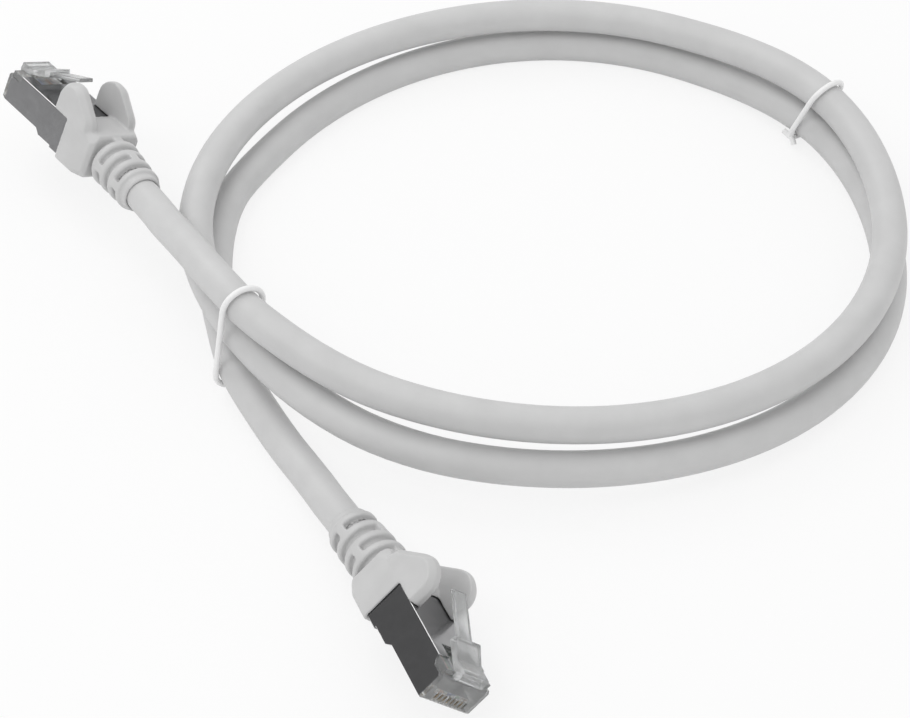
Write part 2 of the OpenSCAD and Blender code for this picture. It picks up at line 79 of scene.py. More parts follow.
COIL_FROM, COIL_TO = 2 / RINGS_PER_TURN, 65 / RINGS_PER_TURN
CROSSOVER = 0.1
LAYER_PITCH = 7.15
SETTLE_ANGLE = 150
FLOOR_AXIS = 2.6
CORD_R = 3.25

# Steps between two knots of a line
LINE_STEPS, TWIST_STEPS = 4, 6

# The ties: bearings, headings and steps in degrees, places in turns along the coil
# and as points of the free stretches, and sizes in millimetres
TIE_ANGLES = (-149, 30)
TIE_HEADINGS = (-57, 126)
FRONT_TIE_TURN, FRONT_TIE_A, FRONT_TIE_B = 0.99, 5, 9
BACK_TIE_TURNS = (1.485, 0.5)
TIE_SLACK = 0.25
TIE_D = 1.1
TIE_GAP = 0.05
TIE_STEP = 6
LIFT_SPREAD = 34

# Share of the cord's radius that grows with the lean of a tie
LEAN_SHARE = 0.6

# The twist of the front and the back tie: which cord it is beside, its angle in
# degrees, how much of the tie's thickness its root stands off, and its knots as
# distance from the root, height and place along the cord
TWIST_BESIDE, TWIST_ANGLES = (1, 0), (0, -35)
TWIST_ROOT = 0.9
TWIST_KNOTS = ((0.5, 0.4, 1.9), (0.1, 0, 0.5), (0, 0, -0.5), (0.3, -0.4, -1.7))
TWIST_TAPER = 0.72

# Height of a nose's mount over the axis of its plug
NOSE_RISE = 1

# The tail of each boot: its bend towards the plug's side and top in degrees, and
# places along it in millimetres
TAIL_BEND = {"a": (10, 1), "b": (-1, -8)}
TAIL_PIVOT = 26.5
TAIL_LENGTH = 14.5
TAIL_STEPS = (1, 8, TAIL_LENGTH, TAIL_LENGTH + 2 * CORD_R)
JACKET_END = -24.6
JACKET_STRAIGHT = 0.9

# Finish of the solids: angles in degrees, distance in metres
MERGE_DISTANCE = 2e-6
FLAT_ANGLE = 0.6
EDGE_ANGLE, EDGE_SEGMENTS = 28, 4
RIM_WEIGHT = 0.15
SOFTEN_FACTOR, SOFTEN_STEPS = 0.5, 5
# Turn of a normal from the plug's axes, as 1 - cos 45 degrees, at which the painted highlight on the shield's
# folds is full
PAINTED_SHEEN_AT_45 = 0.29
CAP_ANGLE = 50

# Where the folds of the shield lie in a plug's own axes, in millimetres
FOLD_SIDE, FOLD_TOP, FOLD_BOTTOM, FOLD_LENGTH = 5.8, 3.9, -3, 1

# The conductors in a plug's own axes, in millimetres: flat row from the contacts
# through the load bar, then two rows in the core
CONDUCTORS = 8
CONTACT_PITCH, FLAT_ROW_Z, FLAT_ROW_X = 1.02, -0.5, (-1.3, -5, -9, -13.9)
CORE_PITCH, CORE_ROW_Z, CORE_ROW_X = 0.46, 0.85, (-19.1, -20.35)

# Camera: lens and sensor in millimetres, place in metres, tilt in degrees
CAMERA_LENS, CAMERA_SENSOR = 89.01, 36
CAMERA_PLACE, CAMERA_TILT = (0.0016, -0.2804, 0.3068), 42

# Floor: half its width in metres, and its share of plain white
FLOOR_HALF = 3.0
FLOOR_WHITE = 0.8

# Lamps: name, place and size in metres, and power as a share of the key light's
LAMPS = (
    ("key lamp", (-0.35, -0.15, 0.6), 0.3, 1.0),
    ("back lamp", (-0.28, 0.37, 0.54), 0.36, 1.3),
)
LAMP_AIM = (0, 0, 0.01)

# Directions between which the mirrored room brightens, towards +Y and +Z
BRIGHT_WALL, BRIGHT_CEILING = (0.3, 0.75), (0.45, 0.9)


# ---- Frames of the plugs and the cord's route ----


def named(items, name):
    return next(item for item in items if item["name"] == name)


def plug_axes(side):
    """Matrix from a plug's own axes, nose at the origin and cord towards -X, to the part's frame."""
    nose = named(frame["record"]["mounts"], f"plug_{side}_nose")
    hinge = named(frame["record"]["behaviour"]["joints"], f"latch_{side}_flex")
    x = Vector(nose["axis"]).normalized()
    y = -Vector(hinge["axis"])
    y = (y - y.dot(x) * x).normalized()
    z = x.cross(y)
    place = Matrix((x, y, z)).transposed().to_4x4()
    place.translation = Vector(nose["pos_m"]) - NOSE_RISE * MM * z
    return place


def ease(t):
    t = min(max(t, 0), 1)
    return t * t * (3 - 2 * t)


def mix(a, b, t):
    return a + (b - a) * t


def angle_from(a, b):
    return abs((a - b + 540) % 360 - 180)


def coil_height(bearing):
    way = bearing - TIE_ANGLES[0]
    layer = 2 - ease(way / SETTLE_ANGLE) if way < 360 else 1 - ease((way - 360) / SETTLE_ANGLE)
    rise = CORD_R + TIE_SLACK + TIE_D + TIE_GAP - FLOOR_AXIS
    lifts = (rise * (1 - ease(angle_from(bearing, tie) / LIFT_SPREAD)) for tie in TIE_ANGLES)
    return FLOOR_AXIS + LAYER_PITCH * layer + sum(lifts)


def coil_point(turns):
    """Centre of the cord after a number of turns, in millimetres."""
    angle = START_ANGLE + 360 * turns
    m = ease((turns - 1 + CROSSOVER) / (2 * CROSSOVER))
    one, two = FIRST_TURN, SECOND_TURN

    def wave(turn):
        return turn["swell"] * math.cos(math.radians(LOBES * (angle - turn["phase"])))

    swell = 1 + mix(wave(one), wave(two), m)
    twist = mix(one["twist"], two["twist"], m)
    x = mix(one["half"][0], two["half"][0], m) * swell * math.cos(math.radians(angle))
    y = mix(one["half"][1], two["half"][1], m) * swell * math.sin(math.radians(angle))
    c, s = math.cos(math.radians(twist)), math.sin(math.radians(twist))
    cx = mix(one["centre"][0], two["centre"][0], m)
    cy = mix(one["centre"][1], two["centre"][1], m)
    return Vector((cx + x * c - y * s, cy + x * s + y * c, coil_height(angle + twist)))


def inside_boot(side):
    """Points of the cord from the crimp to just behind the boot, in millimetres."""
    place = plug_axes(side)
    bend_y, bend_z = TAIL_BEND[side]
    tail = Matrix.Rotation(math.radians(-bend_y), 3, "Z") @ Matrix.Rotation(math.radians(bend_z), 3, "Y")
    points = [Vector((JACKET_END, 0, 0)), Vector((JACKET_END - JACKET_STRAIGHT, 0, 0))]
    points += [Vector((-TAIL_PIVOT, 0, 0)) + tail @ Vector((-x, 0, 0)) for x in TAIL_STEPS]
    return [(place @ (p * MM)) / MM for p in points]


def smooth_line(points, steps):
    """A Catmull-Rom line with centripetal spacing through points, with a few steps between each two."""
    ends = [2 * points[0] - points[1], *points, 2 * points[-1] - points[-2]]
    line = []
    for a, b, c, d in zip(ends, ends[1:], ends[2:], ends[3:]):
        t0 = 0
        t1 = t0 + (b - a).length ** 0.5
        t2 = t1 + (c - b).length ** 0.5
        t3 = t2 + (d - c).length ** 0.5
        for k in range(steps):
            t = mix(t1, t2, k / steps)
            p = a.lerp(b, (t - t0) / (t1 - t0))
            q = b.lerp(c, (t - t1) / (t2 - t1))
            r = c.lerp(d, (t - t2) / (t3 - t2))
            p = p.lerp(q, (t - t0) / (t2 - t0))
            q = q.lerp(r, (t - t1) / (t3 - t1))
            line.append(p.lerp(q, (t - t1) / (t2 - t1)))
    line.append(points[-1])
    return line


def cord_line():
    """The whole centre line of the cord, from one crimp to the other, in metres."""
    rings = round((COIL_TO - COIL_FROM) * RINGS_PER_TURN)
    knots = inside_boot("a") + [Vector(p) for p in ROUTE_A]
    knots += [coil_point(mix(COIL_FROM, COIL_TO, i / rings)) for i in range(rings + 1)]
    knots += [Vector(p) for p in ROUTE_B] + inside_boot("b")[::-1]
    return [p * MM for p in smooth_line(knots, LINE_STEPS)]


# ---- Objects and meshes ----


def add_object(name, data):
    obj = bpy.data.objects.new(name, data)
    bpy.context.collection.objects.link(obj)
    return obj


def add_line(name, lines, closed=0, taper=1.0):
    """A poly curve through lists of points in metres. The first few lines are
    closed, and the others may taper at both ends."""
    curve = bpy.data.curves.new(name, "CURVE")
    curve.dimensions = "3D"
    for i, line in enumerate(lines):
        spline = curve.splines.new("POLY")
        spline.points.add(len(line) - 1)
        for point, co in zip(spline.points, line):
            point.co = (*co, 1)
        spline.use_cyclic_u = i < closed
        if i >= closed:
            spline.points[0].radius = spline.points[-1].radius = taper
    return add_object(name, curve)


def solid_copy(node, name):
    """A merged copy of a solid of the frame, with flat faces made whole again."""
    mesh = frame["nodes"][node].data.copy()
    mesh.materials.clear()
    work = bmesh.new()
    work.from_mesh(mesh)
    bmesh.ops.remove_doubles(work, verts=work.verts, dist=MERGE_DISTANCE)
    bmesh.ops.dissolve_limit(
        work, angle_limit=math.radians(FLAT_ANGLE), verts=work.verts, edges=work.edges,
    )
    work.to_mesh(mesh)
    work.free()
    return add_object(name, mesh)


def round_edges(obj, width, is_fold):
    """Bevel the sharp edges of a piece, and the cut rims less than the folds where it has both."""
    work = bmesh.new()
    work.from_mesh(obj.data)
    weight = work.edges.layers.float.new("bevel_weight_edge")
    for edge in work.edges:
        if edge.calc_face_angle(0) > math.radians(EDGE_ANGLE):
            edge[weight] = 1 if is_fold is None or is_fold(*(v.co for v in edge.verts)) else RIM_WEIGHT
    work.to_mesh(obj.data)
    work.free()
    smooth_shade(obj)
    bevel = obj.modifiers.new("edges", "BEVEL")
    bevel.width, bevel.segments, bevel.limit_method = width, EDGE_SEGMENTS, "WEIGHT"
    even = obj.modifiers.new("flat faces", "WEIGHTED_NORMAL")
    even.weight, even.keep_sharp = 100, False


def mark_painted_sheen(obj, axes):
    """Store how far each point of a piece lies on a rounded edge, as the mask of the painted highlight on the
    shield: 0 on a face along the axes, 1 at 45 degrees.
    """
    turn = axes.to_3x3().transposed()
    painted_sheen = obj.data.attributes.new("painted_sheen", "FLOAT", "POINT")
    for i, vertex in enumerate(obj.data.vertices):
        painted_sheen.data[i].value = min((1 - max(abs(c) for c in turn @ vertex.normal)) / PAINTED_SHEEN_AT_45, 1)


def settle(obj):
    """Turn an object with modifiers into one plain mesh object."""
    bpy.context.view_layer.update()
    seen = obj.evaluated_get(bpy.context.evaluated_depsgraph_get())
    mesh = bpy.data.meshes.new_from_object(seen)
    name = obj.name
    bpy.data.objects.remove(obj)
    mesh.name = name
    return add_object(name, mesh)


def smooth_shade(obj, angle=None):
    mesh = obj.data
    mesh.polygons.foreach_set("use_smooth", [True] * len(mesh.polygons))
    if angle is not None:
        mesh.set_sharp_from_angle(angle=math.radians(angle))
    mesh.update()


def dress(obj, material, instead_of, body="cable"):
    """Give a finished piece its material and tie it to the frame in place of its solids."""
    obj.data.materials.clear()
    obj.data.materials.append(material)
    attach(obj, body)
    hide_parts(*instead_of)


def paint_node(node, material):
    """Give a solid of the frame that stays a new material."""
    obj = frame["nodes"][node]
    obj.data.materials.clear()
    obj.data.materials.append(material)


# ---- Node trees ----


def tube_tree(name, material, floor=False):
    """Round tube along a curve, with inputs for its size, that may be kept above the floor."""
    tree = bpy.data.node_groups.new(name, "GeometryNodeTree")
    face = tree.interface
    face.new_socket("Geometry", in_out="INPUT", socket_type="NodeSocketGeometry")
    for label, kind, value in (
        ("Diameter", "NodeSocketFloat", 0.001),
        ("Sides", "NodeSocketInt", 12),
        ("Floor", "NodeSocketFloat", 0.0),
    ):
        socket = face.new_socket(label, in_out="INPUT", socket_type=kind)
        socket.default_value = value
    face.new_socket("Geometry", in_out="OUTPUT", socket_type="NodeSocketGeometry")
    nodes, link = tree.nodes, tree.links.new
    given = nodes.new("NodeGroupInput")
    half = nodes.new("ShaderNodeMath")
    half.operation = "DIVIDE"
    half.inputs[1].default_value = 2
    link(given.outputs["Diameter"], half.inputs[0])
    circle = nodes.new("GeometryNodeCurvePrimitiveCircle")
    link(given.outputs["Sides"], circle.inputs["Resolution"])
    link(half.outputs[0], circle.inputs["Radius"])

    # The number of each line, for a material that colours the lines apart
    count = nodes.new("GeometryNodeInputIndex")
    keep_count = nodes.new("GeometryNodeStoreNamedAttribute")
    keep_count.data_type, keep_count.domain = "FLOAT", "CURVE"
    keep_count.inputs["Name"].default_value = "strand"
    link(given.outputs["Geometry"], keep_count.inputs["Geometry"])
    link(count.outputs[0], keep_count.inputs["Value"])

    tube = nodes.new("GeometryNodeCurveToMesh")
    link(keep_count.outputs["Geometry"], tube.inputs["Curve"])
    link(circle.outputs["Curve"], tube.inputs["Profile Curve"])
    tube.inputs["Fill Caps"].default_value = True
    shape = tube.outputs["Mesh"]

    if floor:
        place = nodes.new("GeometryNodeInputPosition")
        split = nodes.new("ShaderNodeSeparateXYZ")
        join = nodes.new("ShaderNodeCombineXYZ")
        above = nodes.new("ShaderNodeMath")
        above.operation = "MAXIMUM"
        link(place.outputs[0], split.inputs[0])
        link(split.outputs["X"], join.inputs["X"])
        link(split.outputs["Y"], join.inputs["Y"])
        link(split.outputs["Z"], above.inputs[0])
        link(given.outputs["Floor"], above.inputs[1])
        link(above.outputs[0], join.inputs["Z"])
        rest = nodes.new("GeometryNodeSetPosition")
        link(shape, rest.inputs["Geometry"])
        link(join.outputs[0], rest.inputs["Position"])
        shape = rest.outputs["Geometry"]

    real = nodes.new("GeometryNodeRealizeInstances")
    paint = nodes.new("GeometryNodeSetMaterial")
    paint.inputs["Material"].default_value = material
    out = nodes.new("NodeGroupOutput")
    link(shape, real.inputs[0])
    link(real.outputs[0], paint.inputs["Geometry"])
    link(paint.outputs["Geometry"], out.inputs["Geometry"])
    return tree


def run_tree(obj, tree, **values):
    """Put a node tree on an object with its inputs set, and make the result a plain mesh."""
    step = obj.modifiers.new(tree.name, "NODES")
    step.node_group = tree
    for item in tree.interface.items_tree:
        if item.item_type == "SOCKET" and item.in_out == "INPUT" and item.name.lower() in values:
            step[item.identifier] = values[item.name.lower()]
    return settle(obj)


# ---- Materials ----


class Finish:
    """A new material with its Principled shader and a short way to add and link nodes."""

    def __init__(self, name, colour, roughness, **sockets):
        self.material = bpy.data.materials.new(name)
        self.material.use_nodes = True
        self.tree = self.material.node_tree
        self.shader = self.tree.nodes["Principled BSDF"]
        self.shader.inputs["Base Color"].default_value = (*colour, 1)
        self.shader.inputs["Roughness"].default_value = roughness
        for label, value in sockets.items():
            self.shader.inputs[label.replace("_", " ")].default_value = value
        self.place = self.tree.nodes.new("ShaderNodeTexCoord").outputs["Object"]

    def node(self, kind, **settings):
        node = self.tree.nodes.new(kind)
        for label, value in settings.items():
            setattr(node, label, value)
        return node

    def link(self, a, b):
        self.tree.links.new(a, b)

    def noise(self, scale, detail=2.0, roughness=0.5):
        node = self.node("ShaderNodeTexNoise")
        node.inputs["Scale"].default_value = scale
        node.inputs["Detail"].default_value = detail
        node.inputs["Roughness"].default_value = roughness
        self.link(self.place, node.inputs["Vector"])
        return node.outputs["Fac"]

    def span(self, value, low, high):
        node = self.node("ShaderNodeMapRange")
        node.inputs["To Min"].default_value = low
        node.inputs["To Max"].default_value = high
        self.link(value, node.inputs["Value"])
        return node.outputs["Result"]

    def between(self, value, first, second):
        ramp = self.node("ShaderNodeValToRGB")
        ramp.color_ramp.elements[0].position = 0.3
        ramp.color_ramp.elements[1].position = 0.7
        ramp.color_ramp.elements[0].color = (*first, 1)
        ramp.color_ramp.elements[1].color = (*second, 1)
        self.link(value, ramp.inputs["Fac"])
        return ramp.outputs["Color"]

    def colour(self, value):
        self.link(value, self.shader.inputs["Base Color"])

    def rough(self, value):
        self.link(value, self.shader.inputs["Roughness"])

    def bump(self, value, depth, strength):
        node = self.node("ShaderNodeBump")
        node.inputs["Distance"].default_value = depth
        node.inputs["Strength"].default_value = strength
        self.link(value, node.inputs["Height"])
        before = self.shader.inputs["Normal"].links
        if before:
            self.link(before[0].from_socket, node.inputs["Normal"])
        self.link(node.outputs["Normal"], self.shader.inputs["Normal"])


def shade(colour, factor):
    return tuple(c * factor for c in colour)


def moulded_plastic(name, colour, roughness):
    """Satin plastic, faintly mottled and grained."""
    finish = Finish(name, colour, roughness, Specular_IOR_Level=0.45)
    finish.colour(finish.between(finish.noise(260, 4), shade(colour, 0.97), shade(colour, 1.03)))
    finish.rough(finish.span(finish.noise(900, 3), roughness - 0.06, roughness + 0.06))
    finish.bump(finish.noise(3200, 3, 0.6), 0.00002, 0.5)
    return finish.material


def tie_material(colour):
    """Glossy white plastic with fine slanting ridges."""
    finish = Finish("tie", colour, 0.32, Specular_IOR_Level=0.5)
    finish.colour(finish.between(finish.noise(400, 3), shade(colour, 0.98), colour))
    finish.rough(finish.span(finish.noise(900, 3), 0.26, 0.4))
    ridges = finish.node("ShaderNodeTexWave", wave_type="BANDS", bands_direction="DIAGONAL")
    ridges.inputs["Scale"].default_value = 420
    ridges.inputs["Distortion"].default_value = 1.5
    finish.link(finish.place, ridges.inputs["Vector"])
    finish.bump(ridges.outputs["Fac"], 0.00004, 0.35)
    return finish.material


def jacket_material(colour):
    """Matt PVC with a faint lay of the twisted pairs below it."""
    finish = Finish("jacket", colour, 0.46, Specular_IOR_Level=0.4)
    finish.colour(finish.between(finish.noise(180, 4), shade(colour, 0.97), shade(colour, 1.03)))
    finish.rough(finish.span(finish.noise(700, 3), 0.4, 0.52))
    finish.bump(finish.noise(150, 2), 0.00012, 0.5)
    finish.bump(finish.noise(2600, 3, 0.6), 0.00002, 0.4)
    return finish.material


def clear_material(name, colour, roughness):
    """Clear polycarbonate, clouded and uneven inside."""
    finish = Finish(name, colour, roughness, Transmission_Weight=0.8, IOR=1.5)
    finish.colour(finish.between(finish.noise(420, 5, 0.7), shade(colour, 0.72), colour))
    finish.rough(finish.span(finish.noise(260, 3, 0.6), roughness * 0.4, roughness * 1.6))
    finish.bump(finish.noise(240, 3, 0.5), 0.00005, 0.4)
    return finish.material


def shield_material(name, colour):
    """Tin-plated sheet: fine grain and slightly uneven gloss, with a painted highlight: the colour brightens to a
    pale grey on the rounded folds and edges.
    """
    finish = Finish(name, colour, 0.17, Metallic=1.0)
    plain = finish.between(finish.noise(420, 5, 0.65), shade(colour, 0.94), shade(colour, 1.06))
    sheen_mix = finish.node("ShaderNodeMix", data_type="RGBA")
    # Painted highlight: the pale grey that the mask of the rounded folds and edges mixes into the tin's colour
    sheen_mix.inputs[MIX_SECOND].default_value = (0.8, 0.8, 0.8, 1)
    painted_sheen = finish.node("ShaderNodeAttribute", attribute_name="painted_sheen")
    finish.link(painted_sheen.outputs["Fac"], sheen_mix.inputs[MIX_FACTOR])
    finish.link(plain, sheen_mix.inputs[MIX_FIRST])
    finish.colour(sheen_mix.outputs[MIX_RESULT])
    finish.rough(finish.span(finish.noise(900, 4, 0.6), 0.12, 0.24))
    finish.bump(finish.noise(5200, 4, 0.7), 0.00001, 0.25)
    return finish.material


def wire_material():
    """Insulation of the eight conductors, in pairs of a plain and a striped colour."""
    plain = (0.75, 0.24, 0.03), (0.05, 0.32, 0.08), (0.03, 0.1, 0.5), (0.22, 0.09, 0.03)
    white = (0.8, 0.8, 0.76)
    order = (0, 0, 1, 2, 2, 1, 3, 3)
    striped = (True, False, True, False, True, False, True, False)
    finish = Finish("conductor", plain[0], 0.42, Specular_IOR_Level=0.45)
    strand = finish.node("ShaderNodeAttribute", attribute_name="strand").outputs["Fac"]
    step = finish.node("ShaderNodeMapRange")
    step.inputs["From Min"].default_value, step.inputs["From Max"].default_value = -0.5, CONDUCTORS - 0.5
    finish.link(strand, step.inputs["Value"])

    def ramp(colours):
        node = finish.node("ShaderNodeValToRGB")
        node.color_ramp.interpolation = "CONSTANT"
        stops = node.color_ramp.elements
        while len(stops) < len(colours):
            stops.new(1)
        for i, (stop, colour) in enumerate(zip(stops, colours)):
            stop.position, stop.color = i / len(colours), (*colour, 1)
        finish.link(step.outputs["Result"], node.inputs["Fac"])
        return node.outputs["Color"]

    bands = finish.node("ShaderNodeTexWave", wave_type="BANDS", bands_direction="DIAGONAL")
    bands.inputs["Scale"].default_value = 110
    finish.link(finish.place, bands.inputs["Vector"])
    where = finish.span(bands.outputs["Fac"], -1.2, 2.2)
    both = finish.node("ShaderNodeMix", data_type="RGBA")
    finish.link(where, both.inputs[MIX_FACTOR])
    finish.link(ramp([white if s else plain[i] for i, s in zip(order, striped)]), both.inputs[MIX_FIRST])
    finish.link(ramp([plain[i] for i in order]), both.inputs[MIX_SECOND])
    finish.colour(both.outputs[MIX_RESULT])
    finish.bump(finish.noise(1400, 3), 0.00002, 0.5)
    return finish.material


# ---- Settings ----


def length_setting(name, description, default):
    return FloatProperty(
        name=name, description=description, default=default, min=0.0, unit="LENGTH", precision=4,
    )


def colour_setting(name, description, default):
    return FloatVectorProperty(
        name=name, description=description, default=default, min=0.0, max=1.0, subtype="COLOR", size=3,
    )


def strength_setting(name, description, default):
    return FloatProperty(name=name, description=description, default=default, min=0.0)


class PATCHCABLE_PG_cord(bpy.types.PropertyGroup):
    diameter: length_setting("Diameter", "Outside diameter of the jacket", 0.0065)
    sides: IntProperty(name="Sides", description="Faces around the cord", default=40, min=12, max=96)
    colour: colour_setting("Colour", "Colour of the jacket", (0.58, 0.58, 0.58))
    tie_diameter: length_setting("Tie thickness", "Thickness of the plastic ties", 0.0011)
    tie_colour: colour_setting("Tie colour", "Colour of the ties", (0.88, 0.88, 0.88))


class PATCHCABLE_PG_plug(bpy.types.PropertyGroup):
    boot_colour: colour_setting("Boot colour", "Colour of the moulded boots", (0.555, 0.555, 0.555))
    boot_grain: length_setting("Boot mesh size", "Spacing of the mesh that rounds the boots", 0.0002)
    clear_colour: colour_setting("Clear plastic", "Tint of the plug bodies and latches", (0.86, 0.87, 0.87))
    shield_colour: colour_setting("Shield colour", "Colour of the tin plating", (0.25, 0.25, 0.255))
    contact_colour: colour_setting("Contact colour", "Colour of the gold plating", (0.83, 0.57, 0.22))
    edge: length_setting("Edge rounding", "Rounding of the moulded edges of the plug", 0.00018)
    fold: length_setting("Fold rounding", "Rounding of the long folds of the shield", 0.00045)
    wire_diameter: length_setting("Conductor", "Diameter of one conductor with its insulation", 0.00084)


class PATCHCABLE_PG_stage(bpy.types.PropertyGroup):
    floor_colour: colour_setting("Floor colour", "Colour of the floor", (0.86, 0.86, 0.86))
    ambient: strength_setting("Ambient light", "Strength of the even light from all sides", 0.87)
    room: strength_setting("Room", "Brightness of the room that the metal mirrors", 0.28)
    key: strength_setting("Key light", "Power of the large soft lamp, in watts", 0.55)


# ---- Operators ----


class PATCHCABLE_OT_stage(bpy.types.Operator):
    """Make the floor, the soft light and the camera"""

    bl_idname = "patchcable.stage"
    bl_label = "Stage"

    def execute(self, context):
        stage = context.scene.patch_stage
        camera = bpy.data.cameras.new("camera")
        camera.lens, camera.sensor_width = CAMERA_LENS, CAMERA_SENSOR
        eye = add_object("camera", camera)
        eye.location = CAMERA_PLACE
        eye.rotation_euler = (math.radians(CAMERA_TILT), 0, 0)
        context.scene.camera = eye
        self.make_floor(stage)
        self.make_light(context.scene, stage)
        return {"FINISHED"}

    def make_floor(self, stage):
        mesh = bpy.data.meshes.new("floor")
        r = FLOOR_HALF
        mesh.from_pydata([(-r, -r, 0), (r, -r, 0), (r, r, 0), (-r, r, 0)], [], [(0, 1, 2, 3)])
        floor = add_object("floor", mesh)
        # The floor keeps its shadows, and is mostly white to the camera and in mirrors and clear plastic
        finish = Finish("floor", stage.floor_colour, 0.9)
        white = finish.node("ShaderNodeEmission")
        seen = finish.node("ShaderNodeLightPath")
        most = finish.node("ShaderNodeMath", operation="MAXIMUM")
        finish.link(seen.outputs["Is Camera Ray"], most.inputs[0])
        finish.link(seen.outputs["Is Transmission Ray"], most.inputs[1])
        also = finish.node("ShaderNodeMath", operation="MAXIMUM")
        finish.link(most.outputs[0], also.inputs[0])
        finish.link(seen.outputs["Is Glossy Ray"], also.inputs[1])
        part = finish.node("ShaderNodeMath", operation="MULTIPLY")
        part.inputs[1].default_value = FLOOR_WHITE
        finish.link(also.outputs[0], part.inputs[0])
        both = finish.node("ShaderNodeMixShader")
        finish.link(part.outputs[0], both.inputs["Fac"])
        finish.link(finish.shader.outputs[0], both.inputs[1])
        finish.link(white.outputs[0], both.inputs[2])
        finish.link(both.outputs[0], finish.tree.nodes["Material Output"].inputs["Surface"])
        floor.data.materials.append(finish.material)

    def make_light(self, scene, stage):
        world = bpy.data.worlds.new("studio")
        world.use_nodes = True
        scene.world = world
        nodes, link = world.node_tree.nodes, world.node_tree.links.new
        plain = nodes["Background"]
        plain.inputs["Color"].default_value = (1, 1, 1, 1)
        # Even light on the pieces, and a room to mirror in them: dim, with a bright wall and ceiling
        toward = nodes.new("ShaderNodeSeparateXYZ")
        link(nodes.new("ShaderNodeTexCoord").outputs["Generated"], toward.inputs[0])
        seen = nodes.new("ShaderNodeLightPath")

        def math_node(operation, *values):
            node = nodes.new("ShaderNodeMath")
            node.operation = operation
            for socket, value in zip(node.inputs, values):
                if isinstance(value, float):
                    socket.default_value = value
                else:
                    link(value, socket)
            return node.outputs[0]

        def rise(axis, start, end):
            node = nodes.new("ShaderNodeMapRange")
            node.interpolation_type = "SMOOTHSTEP"
            node.inputs["From Min"].default_value, node.inputs["From Max"].default_value = start, end
            link(toward.outputs[axis], node.inputs["Value"])
            return node.outputs["Result"]

        glossy = seen.outputs["Is Glossy Ray"]
        bright = math_node("MAXIMUM", rise("Y", *BRIGHT_WALL), rise("Z", *BRIGHT_CEILING))
        dimming = math_node("MULTIPLY", glossy, stage.ambient - stage.room)
        link(math_node("SUBTRACT", stage.ambient, dimming), plain.inputs["Strength"])
        white = nodes.new("ShaderNodeBackground")
        white.inputs["Strength"].default_value = 1
        most = math_node("MAXIMUM", seen.outputs["Is Camera Ray"], seen.outputs["Is Transmission Ray"])
        both = nodes.new("ShaderNodeMixShader")
        link(math_node("MAXIMUM", most, math_node("MULTIPLY", glossy, bright)), both.inputs["Fac"])
        link(plain.outputs[0], both.inputs[1])
        link(white.outputs[0], both.inputs[2])
        link(both.outputs[0], nodes["World Output"].inputs["Surface"])
        for name, place, size, share in LAMPS:
            lamp = bpy.data.lights.new(name, "AREA")
            lamp.shape, lamp.size, lamp.energy = "DISK", size, stage.key * share
            obj = add_object(name, lamp)
            obj.location = place
            obj.rotation_euler = (Vector(LAMP_AIM) - Vector(place)).to_track_quat("-Z", "Y").to_euler()


class PATCHCABLE_OT_cord(bpy.types.Operator):
    """Make the jacket of the cord as one smooth tube from crimp to crimp"""

    bl_idname = "patchcable.cord"
    bl_label = "Cord"

    def execute(self, context):
        size = context.scene.patch_cord
        line = cord_line()
        material = jacket_material(size.colour)
        tree = tube_tree("Cord jacket", material, floor=True)
        jacket = run_tree(add_line("jacket", [line]), tree, diameter=size.diameter, sides=size.sides, floor=0.0)
        smooth_shade(jacket)
        dress(jacket, material, ("cable_lead_a", "cable_coil", "cable_lead_b"))
        foil = Finish("foil_core", (0.62, 0.62, 0.65), 0.35, Metallic=0.8)
        foil.colour(foil.between(foil.noise(500, 4), (0.5, 0.5, 0.53), (0.7, 0.7, 0.73)))
        foil.bump(foil.noise(700, 3), 0.0001, 0.6)
        paint_node("cable_core", foil.material)
        return {"FINISHED"}


